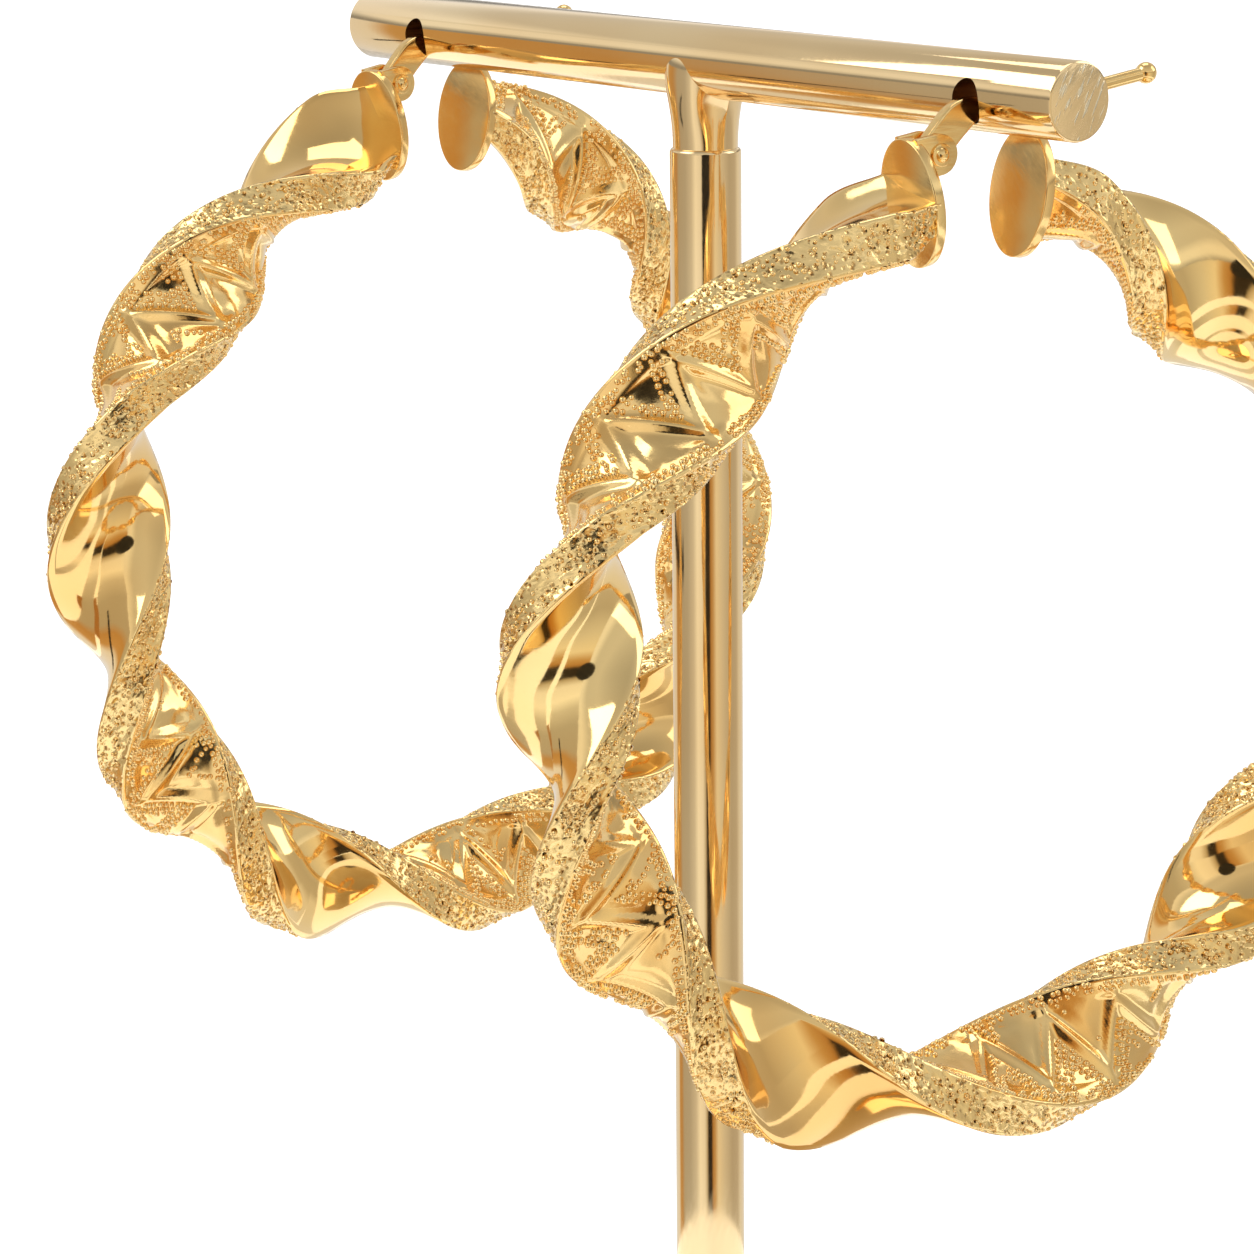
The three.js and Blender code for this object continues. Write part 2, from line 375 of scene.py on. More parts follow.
class Nodes:
    """A new metal material and short calls that add its nodes."""

    def __init__(self, name, color, roughness):
        self.material = bpy.data.materials.new(name)
        self.material.use_nodes = True
        self.tree = self.material.node_tree
        self.shader = self.tree.nodes["Principled BSDF"]
        self.shader.inputs["Base Color"].default_value = (*color, 1)
        self.shader.inputs["Metallic"].default_value = 1
        self.shader.inputs["Roughness"].default_value = roughness
        self.coords = self.tree.nodes.new("ShaderNodeTexCoord").outputs["Object"]

    def link(self, source, node, socket):
        self.tree.links.new(source, node.inputs[socket])

    def mapping(self, scale, turn=(0, 0, 0)):
        """Object coordinates, turned and then stretched, for marks along a turned axis."""
        node = self.tree.nodes.new("ShaderNodeMapping")
        node.vector_type = "TEXTURE"
        node.inputs["Scale"].default_value = [1 / value for value in scale]
        node.inputs["Rotation"].default_value = turn
        self.link(self.coords, node, "Vector")
        return node.outputs["Vector"]

    def noise(self, vector, scale, detail=2.0):
        node = self.tree.nodes.new("ShaderNodeTexNoise")
        node.inputs["Scale"].default_value = scale
        node.inputs["Detail"].default_value = detail
        self.link(vector, node, "Vector")
        return node.outputs["Fac"]

    def cells(self, vector, scale):
        node = self.tree.nodes.new("ShaderNodeTexVoronoi")
        node.inputs["Scale"].default_value = scale
        self.link(vector, node, "Vector")
        return node.outputs["Distance"]

    def span(self, source, low, high, to_low=0.0, to_high=1.0):
        """Stretches the values from low to high over the values from to_low to to_high."""
        node = self.tree.nodes.new("ShaderNodeMapRange")
        ends = {"From Min": low, "From Max": high, "To Min": to_low, "To Max": to_high}
        for socket, value in ends.items():
            node.inputs[socket].default_value = value
        self.link(source, node, "Value")
        return node.outputs["Result"]

    def blend(self, source, first, second):
        """Colours the metal from the first colour at 0 to the second at 1."""
        node = self.tree.nodes.new("ShaderNodeMix")
        node.data_type = "RGBA"
        node.inputs["A"].default_value = (*first, 1)
        node.inputs["B"].default_value = (*second, 1)
        self.link(source, node, "Factor")
        self.link(node.outputs["Result"], self.shader, "Base Color")

    def roughen(self, source):
        self.link(source, self.shader, "Roughness")

    def bump(self, source, distance, strength, below=None):
        """Dents the surface by a distance in metres, on top of the bump below."""
        node = self.tree.nodes.new("ShaderNodeBump")
        node.inputs["Distance"].default_value = distance
        node.inputs["Strength"].default_value = strength
        self.link(source, node, "Height")
        if below:
            self.link(below, node, "Normal")
        self.link(node.outputs["Normal"], self.shader, "Normal")
        return node.outputs["Normal"]


gold_light = (0.96, 0.70, 0.31)
gold_deep = (0.90, 0.56, 0.20)
champagne = (0.90, 0.69, 0.39)
champagne_deep = (0.83, 0.59, 0.30)
champagne_pale = (1.0, 0.75, 0.41)
# Painted shade for the punched pits
pit_shade_brown = (0.5, 0.26, 0.07)
bead_bright = (1.0, 0.77, 0.38)
scratch_bright = (1.0, 0.9, 0.66)
# Painted shade for the walls inside the wire holes
bore_shade_brown = (0.2, 0.09, 0.03)
bore_shade_dark = (0.16, 0.06, 0.02)
bore_shade_light = (0.3, 0.14, 0.04)
floor_white = (0.92, 0.92, 0.92)
floor_light = (0.93, 0.93, 0.93)
floor_dark = (0.91, 0.91, 0.91)
floor_glow = 0.22


def polished_gold():
    """Hand-polished hoop gold: faint waves, fine wipe marks and a little colour drift."""
    made = Nodes("polished_gold", gold_light, roughness=0.07)
    drift = made.noise(made.coords, scale=90)
    made.blend(made.span(drift, low=0.35, high=0.7), gold_light, gold_deep)
    wipe = made.noise(made.mapping(scale=(900, 900, 5000), turn=(0.5, 0.3, 0)), scale=1, detail=4)
    made.roughen(made.span(wipe, low=0.3, high=0.8, to_low=0.05, to_high=0.13))
    wave = made.noise(made.coords, scale=190, detail=1)
    below = made.bump(wave, distance=0.0006, strength=0.5)
    made.bump(wipe, distance=0.000002, strength=0.5, below=below)
    return made.material


def stippled_gold():
    """The punched edges: close pits with painted shade in them, and bright points between them."""
    made = Nodes("stippled_gold", gold_light, roughness=0.16)
    pits = made.cells(made.coords, scale=2300)
    deep = made.span(pits, low=0.08, high=0.42)
    # Painted shade: the pits are coloured dark brown, as if shade fell in them
    made.blend(deep, pit_shade_brown, gold_light)
    fine = made.noise(made.coords, scale=5200, detail=2)
    made.roughen(made.span(fine, low=0.3, high=0.7, to_low=0.1, to_high=0.26))
    below = made.bump(deep, distance=0.0001, strength=0.7)
    made.bump(fine, distance=0.00002, strength=0.5, below=below)
    return made.material


def key_gold():
    """The ground and folds of the key face: polished, with faint chatter from the stamp."""
    made = Nodes("key_gold", gold_light, roughness=0.1)
    drift = made.noise(made.coords, scale=220)
    made.blend(made.span(drift, low=0.35, high=0.7), gold_light, gold_deep)
    chatter = made.noise(made.coords, scale=2600, detail=3)
    made.roughen(made.span(chatter, low=0.3, high=0.75, to_low=0.08, to_high=0.2))
    wave = made.noise(made.coords, scale=380, detail=1)
    below = made.bump(wave, distance=0.0002, strength=0.5)
    made.bump(chatter, distance=0.000012, strength=0.5, below=below)
    return made.material


def bead_gold():
    """Granulation beads: bright, with a trace of solder in the colour."""
    made = Nodes("bead_gold", gold_light, roughness=0.13)
    drift = made.noise(made.coords, scale=1500)
    made.blend(made.span(drift, low=0.3, high=0.7), bead_bright, gold_deep)
    made.roughen(made.span(drift, low=0.3, high=0.7, to_low=0.09, to_high=0.2))
    return made.material


def wire_gold():
    """Drawn wire and stamped hinge pieces, with fine marks along the draw."""
    made = Nodes("wire_gold", gold_light, roughness=0.12)
    draw = made.noise(made.mapping(scale=(600, 4000, 6000)), scale=1, detail=3)
    made.blend(made.span(draw, low=0.3, high=0.75), gold_light, gold_deep)
    made.roughen(made.span(draw, low=0.3, high=0.75, to_low=0.09, to_high=0.2))
    made.bump(draw, distance=0.000006, strength=0.5)
    return made.material


def cap_gold():
    """The caps' flat faces, ground and lightly brushed."""
    made = Nodes("cap_gold", gold_light, roughness=0.15)
    lay = made.mapping(scale=(9000, 1500, 900), turn=(0.2, 0.6, 0.3))
    brush = made.noise(lay, scale=1, detail=3)
    cloud = made.noise(made.coords, scale=300)
    made.blend(made.span(cloud, low=0.3, high=0.7), gold_light, gold_deep)
    made.roughen(made.span(brush, low=0.3, high=0.75, to_low=0.1, to_high=0.22))
    made.bump(brush, distance=0.000006, strength=0.5)
    return made.material


def stand_gold():
    """Pale gold plate on the stand: mirror bright, with faint wipe marks."""
    made = Nodes("stand_gold", champagne, roughness=0.09)
    drift = made.noise(made.coords, scale=60)
    made.blend(made.span(drift, low=0.35, high=0.7), champagne, champagne_deep)
    wipe = made.noise(made.mapping(scale=(3500, 3500, 500), turn=(0.1, 0.2, 0)), scale=1, detail=3)
    made.roughen(made.span(wipe, low=0.3, high=0.8, to_low=0.06, to_high=0.13))
    made.bump(wipe, distance=0.000002, strength=0.5)
    return made.material


def sawn_gold():
    """The bar's end faces, filed with crossing diagonal scratches."""
    made = Nodes("sawn_gold", champagne_pale, roughness=0.2)
    first = made.noise(made.mapping(scale=(4200, 300, 620), turn=(0, 0.5, 0)), scale=1, detail=2)
    second = made.noise(made.mapping(scale=(3000, 300, 900), turn=(0, 0.75, 0)), scale=1, detail=2)
    line = made.span(first, low=0.56, high=0.64)
    made.blend(line, champagne_pale, scratch_bright)
    made.roughen(made.span(second, low=0.3, high=0.7, to_low=0.14, to_high=0.3))
    below = made.bump(line, distance=0.00005, strength=0.9)
    made.bump(second, distance=0.00004, strength=0.6, below=below)
    return made.material


def bore_shade_gold():
    """The drilled walls of the wire holes: unpolished, and painted dark brown as painted shade
    inside the holes.
    """
    made = Nodes("bore_shade_gold", bore_shade_brown, roughness=0.4)
    tool = made.noise(made.mapping(scale=(300, 5000, 5000)), scale=1, detail=2)
    # Painted shade: the walls are coloured dark, with a random tool pattern through it
    made.blend(made.span(tool, low=0.3, high=0.7), bore_shade_dark, bore_shade_light)
    made.roughen(made.span(tool, low=0.3, high=0.7, to_low=0.3, to_high=0.5))
    made.bump(tool, distance=0.00003, strength=0.5)
    return made.material


def floor_paint():
    """The pale studio floor."""
    made = Nodes("floor_paint", floor_white, roughness=0.85)
    made.shader.inputs["Metallic"].default_value = 0
    made.shader.inputs["Emission Color"].default_value = (1, 1, 1, 1)
    made.shader.inputs["Emission Strength"].default_value = floor_glow
    grain = made.noise(made.coords, scale=40, detail=4)
    made.blend(grain, floor_light, floor_dark)
    return made.material


def card_paint(name, color):
    """Dull paint for the cards that the gold reflects."""
    made = Nodes(name, color, roughness=0.9)
    made.shader.inputs["Metallic"].default_value = 0
    grain = made.noise(made.coords, scale=60)
    made.roughen(made.span(grain, low=0, high=1, to_low=0.85, to_high=0.95))
    return made.material


# Hoop


def section():
    """Points round the section from the polished face at -y: x, y and the surface each starts."""
    points = []
    flat = half_width - corner
    low = half_thickness - corner
    for x in np.linspace(-flat, flat, dish_points):
        dish = dish_depth * math.cos(math.pi * x / (2 * flat)) ** 2
        points.append((x, dish - half_thickness, 0))
    for y in np.linspace(-low, low, edge_points):
        points.append((half_width, y, 1))
    for x in np.linspace(flat, -flat, key_points):
        points.append((x, half_thickness, 2))
    for y in np.linspace(low, -low, edge_points):
        points.append((-half_width, y, 3))
    return np.array(points)


def fold_place(z):
    """Where the raised fold runs across the key face."""
    phase = (z / tube_length * key_count) % 1
    return key_swing * (1 - 4 * np.abs(phase - 0.5))


def face_height(x, z):
    """The key face's relief: a crested fold, and a plain border that stands a little proud."""
    off = np.abs(x - fold_place(z)) * fold_lean
    fold = fold_height * np.clip(1 - off / fold_reach, 0, 1)
    inside = np.clip((half_width - border_width - np.abs(x)) / border_ramp, 0, 1)
    pillow = np.where(x > fold_place(z), pillow_height * np.clip(off - fold_reach, 0, 1), 0)
    return fold + inside * inside * (3 - 2 * inside) * (pillow - ground_depth)


def pits(count):
    """How deep each point of a punched edge lies: mostly level, with pits and a few high points."""
    chance = random.random(count)
    deep = random.uniform(shallowest_pit, 1, count) * pit_depth
    depth = np.where(chance < pit_share, deep, 0)
    return np.where(chance > 1 - point_share, -point_height, depth)


def tube(side):
    """The twisted tube: a sheet wrapped round the section and along the hoop."""
    outline = section()
    count = len(outline)
    piece, along, around = grid(f"tube_{side}", stations, count + 1)
    index = np.rint(around * count).astype(int) % count
    x, y, region = outline[index].T
    z = along * tube_length
    on_key = region == 2
    y = y + np.where(on_key, face_height(x, z), 0)
    rim = (half_thickness - corner - np.abs(y)) / rim_width
    on_edge = np.where(region % 2 == 1, np.clip(rim, 0, 1), 0)
    x = x - np.sign(x) * on_edge * pits(len(x))
    reshape(piece, onto_hoop(side, x, y, z) * mm)
    close(piece, gap=1e-6)
    mark_surfaces(piece, outline)
    smooth(piece, 70)
    return piece


def mark_surfaces(piece, outline):
    """Gives each face its material: 0 polished, as the closed ends are, 1 punched or 2 key."""
    count = len(outline)
    faces = piece.data.polygons
    uv = np.empty(2 * len(piece.data.loops))
    piece.data.uv_layers[0].data.foreach_get("uv", uv)
    first = np.empty(len(faces), int)
    faces.foreach_get("loop_start", first)
    size = np.empty(len(faces), int)
    faces.foreach_get("loop_total", size)
    around = uv.reshape(-1, 2)[:, 1]
    middle = np.add.reduceat(around, first) / size
    low = np.clip((middle * count).astype(int), 0, count - 1)
    surface = outline[low, 2].astype(int)
    slot_of = np.array([0, 1, 2, 1])[surface]
    slot_of[size > 4] = 0
    faces.foreach_set("material_index", slot_of.astype(np.int32))


def beads(name, side, x, z, face, radius):
    """Domes on a face of the tube. face gives the point of the section that each stands on."""
    step = 0.02
    here = onto_hoop(side, *face(x, z), z)
    across = onto_hoop(side, *face(x + step, z), z) - here
    along = onto_hoop(side, *face(x, z + step), z + step) - here
    across /= np.linalg.norm(across, axis=1)[:, None]
    along -= across * np.sum(across * along, axis=1)[:, None]
    along /= np.linalg.norm(along, axis=1)[:, None]
    up = np.cross(along, across)
    centre = onto_hoop(side, np.zeros_like(z), np.zeros_like(z), z)
    up *= np.sign(np.sum(up * (here - centre), axis=1))[:, None]
    turns = np.arange(bead_sides) * 2 * math.pi / bead_sides
    dome = [
        (math.cos(t) * math.cos(lift), math.sin(t) * math.cos(lift), math.sin(lift))
        for lift in bead_rings
        for t in turns
    ]
    dome.append((0, 0, 1))
    each = len(dome)
    axes = np.stack([across, along, up], 1)
    points = here[:, None] + radius[:, None, None] * (np.array(dome) @ axes)
    ring = [(i, (i + 1) % bead_sides) for i in range(bead_sides)]
    skirt = [(a, b, b + bead_sides, a + bead_sides) for a, b in ring]
    crown = [(a + bead_sides, b + bead_sides, each - 1) for a, b in ring]
    starts = range(0, each * len(z), each)
    faces = [tuple(s + i for i in corners) for s in starts for corners in skirt + crown]
    mesh = bpy.data.meshes.new(name)
    mesh.from_pydata((points.reshape(-1, 3) * mm).tolist(), [], faces)
    piece = bpy.data.objects.new(name, mesh)
    bpy.context.scene.collection.objects.link(piece)
    only(piece)
    bpy.ops.object.mode_set(mode="EDIT")
    bpy.ops.mesh.select_all(action="SELECT")
    bpy.ops.mesh.normals_make_consistent(inside=False)
    bpy.ops.object.mode_set(mode="OBJECT")
    bpy.ops.object.shade_smooth()
    return piece


def key_face(x, z):
    """A point of the key face, in the tube's section."""
    return x, half_thickness + face_height(x, z)


def patches(z):
    """A slow random value along the tube, from 0 to 1, that gathers the sparse beads in patches."""
    knots = np.arange(0, tube_length + 2 * patch_length, patch_length)
    return np.interp(z, knots, random.random(len(knots)))


def key_beads(side):
    """Rows of beads along both borders, and along both sides of the fold."""
    xs, zs = [], []
    first, last = bead_margin, tube_length - bead_margin
    for row in border_rows:
        for sign in (-1, 1):
            z = np.arange(first, last, bead_pitch)
            z = z[patches(z) < border_share]
            xs.append(sign * row + random.normal(0, bead_drift, len(z)))
            zs.append(z + random.normal(0, border_drift, len(z)))
    for row in fold_rows:
        for sign in (-1, 1):
            z = np.arange(first, last, bead_pitch * fold_lean * fold_spread)
            z = z[patches(z) < (fold_share if sign < 0 else sparse_share)]
            beside = fold_place(z) + sign * row / fold_lean
            xs.append(beside + random.normal(0, bead_drift, len(z)))
            zs.append(z + random.normal(0, fold_drift, len(z)))
    x, z = np.concatenate(xs), np.concatenate(zs)
    keep = (np.abs(x) < half_width - corner) & (random.random(len(x)) < bead_share)
    off = np.abs(x - fold_place(z)) * fold_lean
    off_fold = off > fold_rows[0] - fold_clearance
    on_border = np.abs(x) > border_rows[-1] - border_overlap
    keep &= off_fold | on_border
    x, z = x[keep], z[keep]
    radius = bead_radius * random.uniform(*bead_sizes, len(x))
    return beads(f"key_beads_{side}", side, x, z, key_face, radius)


def edge_beads(side):
    """Raised points scattered over both narrow edges."""
    made = []
    reach = half_thickness - edge_bead_reach
    drift_y, drift_z = edge_bead_drift
    for sign, label in ((-1, "low"), (1, "high")):

        def face(y, z, sign=sign):
            return np.full_like(y, sign * half_width), y

        columns = np.arange(-reach, reach, edge_bead_pitch)
        lines = np.arange(edge_bead_margin, tube_length - edge_bead_margin, edge_bead_pitch)
        y, z = [a.ravel() for a in np.meshgrid(columns, lines)]
        y = y + random.uniform(-drift_y, drift_y, len(y))
        z = z + random.uniform(-drift_z, drift_z, len(z))
        keep = random.random(len(y)) < edge_bead_share
        y, z = y[keep], z[keep]
        radius = edge_bead_radius * random.uniform(*edge_bead_sizes, len(y))
        made.append(beads(f"edge_beads_{side}_{label}", side, y, z, face, radius))
    return join(*made)


def cap(side, name, angle):
    """An oval cap with a softly rounded rim."""
    piece = drum(f"{name}_cap_{side}", sides=72, radius=1, depth=cap_thickness)
    reshape(piece, points_of(piece) * [cap_height / 2, cap_width / 2, 1])
    apply(piece, "BEVEL", width=cap_bevel, segments=3, limit_method="ANGLE")
    seat(piece, hang(side) @ station(angle))
    smooth(piece)
    return piece


def ear(side, sign):
    """One ear of the hinge: a disc round the rivet, drawn out to the cap."""
    end = "near" if sign < 0 else "far"
    piece = drum(f"ear_{side}_{end}", sides=48, radius=ear_radius, depth=ear_thickness)
    points = points_of(piece)
    points[points[:, 0] < -0.01, 0] = -rivet_reach
    reshape(piece, points)
    apply(piece, "BEVEL", width=ear_bevel, segments=2, limit_method="ANGLE")
    middle = sign * (tab_thickness / 2 + hinge_clearance + ear_thickness / 2)
    move = Matrix.Translation((rivet_reach, middle, rivet_rise))
    lie = Matrix.Rotation(math.radians(-90), 4, "X")
    seat(piece, hang(side) @ hinge_frame() @ move @ lie)
    smooth(piece)
    return piece


def rivet(side):
    """Both domed heads of the rivet and the shank between them."""
    reach = tab_thickness / 2 + hinge_clearance + ear_thickness
    heads = []
    for sign in (-1, 1):
        head = sphere(f"rivet_{side}", sides=32, radius=dome_diameter / 2)
        squash = head_height / (dome_diameter / 2)
        reshape(head, points_of(head) * [1, squash, 1] + [0, sign * reach, 0])
        ring = drum("ring", sides=40, radius=head_diameter / 2, depth=ring_height)
        apply(ring, "BEVEL", width=ring_bevel, segments=2, limit_method="ANGLE")
        reshape(ring, points_of(ring)[:, [0, 2, 1]] + [0, sign * (reach + ring_height / 2), 0])
        heads += [head, ring]
    shank = drum(f"shank_{side}", sides=24, radius=shank_diameter / 2, depth=2 * reach)
    reshape(shank, points_of(shank)[:, [0, 2, 1]])
    piece = join(*heads, shank)
    seat(piece, hang(side) @ Matrix.Translation(rivet_point()))
    close(piece, gap=1e-9)
    smooth(piece)
    return piece


# Ear wire


def centripetal(points, shares):
    """A smooth curve through points, as the solid's wire follows it."""
    points = np.array([tuple(p) for p in points])
    spans = len(points) - 1
    padded = np.vstack([2 * points[0] - points[1], points, 2 * points[-1] - points[-2]])
    out = []
    for share in shares:
        place = min(share, 1 - 1e-9) * spans
        i = int(place)
        w = place - i
        p = padded[i : i + 4]
        gaps = [np.linalg.norm(p[k + 1] - p[k]) ** 0.5 for k in range(3)]
        pace = [(p[k + 1] - p[k]) / gaps[k] for k in range(3)]
        t1 = pace[0] - (p[2] - p[0]) / (gaps[0] + gaps[1]) + pace[1]
        t2 = pace[1] - (p[3] - p[1]) / (gaps[1] + gaps[2]) + pace[2]
        t1, t2 = t1 * gaps[1], t2 * gaps[1]
        step = p[2] - p[1]
        square = (3 * step - 2 * t1 - t2) * w**2
        cube = (-2 * step + t1 + t2) * w**3
        out.append(p[1] + t1 * w + square + cube)
    return np.array(out)


def wire_path(shares):
    """The wire's middle line, from the rivet through the hole in the bar to the ball."""
    hole = Vector((-hoop_shift, 0, hoop_drop - hole_drop))
    stops = [
        (-bar_radius, -entry_drop),
        (0, -wire_drop),
        (bar_radius, -wire_drop),
        (ball_reach, ball_rise),
    ]
    through = [hole + Vector((a, 0, b)) for a, b in stops]
    return centripetal([rivet_point()] + through, shares)


def ear_wire(side):
    """A flat tab with a round end that narrows into the round wire, and the ball at its tip."""
    rows, sides, samples = 120, 32, 600
    piece, along, around = grid(f"wire_{side}", rows, sides + 1)
    path = wire_path(np.linspace(0, 1, samples))
    steps = np.linalg.norm(np.diff(path, axis=0), axis=1)
    length = np.concatenate([[0], np.cumsum(steps)])
    tangent = np.gradient(path, axis=0)
    tangent /= np.linalg.norm(tangent, axis=1)[:, None]
    reach = along * (length[-1] + tab_end_radius) - tab_end_radius
    past = np.maximum(reach, 0)
    line = np.stack([np.interp(past, length, path[:, k]) for k in range(3)], -1)
    ahead = np.stack([np.interp(past, length, tangent[:, k]) for k in range(3)], -1)
    line = line + ahead * np.minimum(reach, 0)[:, None]
    narrow = np.clip((reach - tab_length) / taper_length, 0, 1)
    tall = (tab_width + (wire_diameter - tab_width) * narrow**taper_power) / 2
    round_end = np.sqrt(np.clip(tab_end_radius**2 - np.minimum(reach, 0) ** 2, 0, None))
    tall = np.where(reach < 0, round_end * tab_width / 2 / tab_end_radius, tall)
    thick = np.where(narrow < 1, tab_thickness, wire_diameter) / 2
    nose = np.clip((reach + tab_end_radius) / nose_length, 0, 1)
    thick = np.where(reach < 0, thick * nose, thick)
    flat_power, round_power, pace = 9, 2, 1.3
    power = flat_power - (flat_power - round_power) * np.clip(narrow * pace, 0, 1)
    turn = around * 2 * math.pi
    rise = np.sign(np.sin(turn)) * np.abs(np.sin(turn)) ** (2 / power)
    side_way = np.sign(np.cos(turn)) * np.abs(np.cos(turn)) ** (2 / power)
    up = np.stack([-ahead[:, 2], np.zeros(len(reach)), ahead[:, 0]], -1)
    points = line + up * (tall * rise)[:, None]
    points[:, 1] += thick * side_way
    reshape(piece, placed(hang(side), points) * mm)
    close(piece, gap=1e-7)
    smooth(piece, 40)
    ball = sphere(f"ball_{side}", sides=40, radius=ball_diameter / 2)
    seat(ball, hang(side) @ Matrix.Translation(Vector(wire_path([1])[0])))
    smooth(ball, 60)
    return join(piece, ball)


# Stand


def bar():
    """The cross bar: a bevelled rod with filed ends and two drilled oval holes, their walls
    darkened with painted shade.
    """
    length = bar_front_reach + bar_back_reach
    piece = drum("bar", sides=128, radius=bar_radius, depth=length)
    points = points_of(piece)[:, [0, 2, 1]] + [0, (bar_back_reach - bar_front_reach) / 2, 0]
    reshape(piece, points)
    close(piece, gap=1e-9)
    apply(piece, "BEVEL", width=bar_bevel, segments=2, limit_method="ANGLE")
    for side in ("front", "back"):
        drill = drum("drill", sides=48, radius=1, depth=3 * bar_diameter)
        points = points_of(drill)[:, [2, 0, 1]] * [1, hole_width / 2, hole_height / 2]
        reshape(drill, points + [0, hoop_y[side], -hole_drop])
        apply(piece, "BOOLEAN", operation="DIFFERENCE", solver="EXACT", object=drill)
        bpy.data.objects.remove(drill)
    seat(piece, Matrix.Translation((0, 0, bar_height)))
    smooth(piece, 30)
    skin, facing = 0.97, 0.95
    for face in piece.data.polygons:
        x, y, z = face.center / mm
        near_end = min(y + bar_front_reach, bar_back_reach - y) < 2 * bar_bevel
        inside = math.hypot(x, z - bar_height) < skin * bar_radius
        if near_end and abs(face.normal.y) > facing:
            face.material_index = 1
        elif inside and not near_end:
            # Faces inside the holes take the material with painted shade
            face.material_index = 2
    return piece


def saddle():
    """The soldered saddle: a collar that flares and laps up both flanks of the bar."""
    rows, sides = 28, 96
    piece, along, around = grid("saddle", rows, sides + 1)
    turn = around * 2 * math.pi
    face_out, face_side = np.cos(turn), np.sin(turn)
    neck = neck_diameter / 2
    foot_line = np.full(len(turn), -neck_drop - neck_overlap)
    low = np.stack([neck * face_out, neck * face_side, foot_line], -1)
    climb = np.radians(lobe_turn) * np.sign(face_out) * face_out**2
    lap = bar_radius - lap_depth
    width = saddle_length / 2 * face_side
    top = np.stack([lap * np.sin(climb), width, -lap * np.cos(climb)], -1)
    swell = (1 - swell_share) * climb
    proud = bar_radius + swell_walls * saddle_wall
    lead = np.stack([proud * np.sin(swell), swell_width * width, -proud * np.cos(swell)], -1)
    rise = low + [0, 0, neck_rise]
    t = along[:, None]
    bend = 3 * rise * t * (1 - t) ** 2 + 3 * lead * t**2 * (1 - t)
    reshape(piece, low * (1 - t) ** 3 + bend + top * t**3)
    seat(piece, Matrix.Translation((0, 0, bar_height)))
    close(piece, gap=1e-7)
    smooth(piece, 50)
    return piece


def post():
    """The post, with a softened lip under the saddle."""
    heel = foot_thickness - socket_depth - bar_height
    piece = drum("post", sides=96, radius=post_diameter / 2, depth=-neck_drop - heel)
    apply(piece, "BEVEL", width=post_lip, segments=4, limit_method="ANGLE")
    seat(piece, Matrix.Translation((0, 0, bar_height + (heel - neck_drop) / 2)))
    smooth(piece, 40)
    return piece


def foot():
    """The round foot with rounded edges."""
    piece = drum("foot", sides=160, radius=foot_diameter / 2, depth=foot_thickness)
    apply(piece, "BEVEL", width=foot_bevel, segments=5, limit_method="ANGLE")
    seat(piece, Matrix.Translation((0, 0, foot_thickness / 2)))
    smooth(piece, 40)
    return piece


# Studio

# The studio is in metres. Its lights, cards and lens shade face this point
aim_point = Vector((0, 0, 0.07))
floor_size = 6
exposure = 0.12

# Light of the room from straight down to straight up
room_levels = (
    (0, 0.75),
    (0.45, 0.38),
    (0.52, 0.3),
    (0.57, 0.3),
    (0.62, 0.85),
    (0.66, 0.85),
    (0.72, 0.6),
    (0.82, 0.62),
    (1, 0.4),
)

# Soft lights: name, place, size and power
lamps = (
    ("key_light", (-0.5, 0.25, 0.6), (0.5, 0.4), 1.5),
    ("fill_light", (0.6, -0.4, 0.5), (0.4, 0.5), 0.8),
    ("rim_light", (0.15, 0.2, 0.85), (0.5, 0.4), 1.0),
    ("backdrop_light", (1.1, 1.5, 1.3), (2.4, 2.4), 22),
)

black = (0.01, 0.008, 0.006)
brown = (0.34, 0.16, 0.04)
grey = (0.3, 0.28, 0.25)

# Dark disc between the object and the camera, and how far it stands from the aim point
shade_radius = 0.038
shade_distance = 0.18

# Low walls of flats round the object: name, radius and height
flat_rings = (("flats", 0.19, 0.115), ("flat_skirt", 0.1, 0.03), ("flat_kerb", 0.055, 0.017))
flat_light = 0.9

# The flats' colours, by the angle from the camera, to the right in the picture
flats = (
    (-180, (0.8, 0.8, 0.8)),
    (-128, (0.85, 0.82, 0.78)),
    (-120, (0.6, 0.36, 0.14)),
    (-108, (0.55, 0.32, 0.12)),
    (-98, (0.5, 0.46, 0.4)),
    (-70, (0.52, 0.5, 0.46)),
    (-48, (0.7, 0.68, 0.64)),
    (-34, (1.05, 1.04, 1.0)),
    (-18, (0.95, 0.93, 0.9)),
    (-9, (0.5, 0.42, 0.3)),
    (-6, (0.03, 0.02, 0.01)),
    (5, (0.03, 0.02, 0.01)),
    (9, (0.5, 0.26, 0.08)),
    (16, (0.6, 0.38, 0.16)),
    (28, (0.9, 0.82, 0.66)),
    (50, (0.72, 0.68, 0.6)),
    (80, (0.52, 0.48, 0.42)),
    (105, (0.56, 0.52, 0.46)),
    (122, (0.8, 0.78, 0.74)),
    (180, (0.8, 0.8, 0.8)),
)

# Cards outside the view that the gold reflects: name, place, size, colour and whether it lies flat
cards = (
    ("warm_table", (-0.13, 0.12, 0.002), (0.09, 0.2), brown, True),
    ("back_flat", (0.5, 0.1, 0.2), (0.3, 0.16), grey, False),
    ("dark_edge", (-0.096, 0.14, 0.042), (0.16, 0.005), black, False),
)


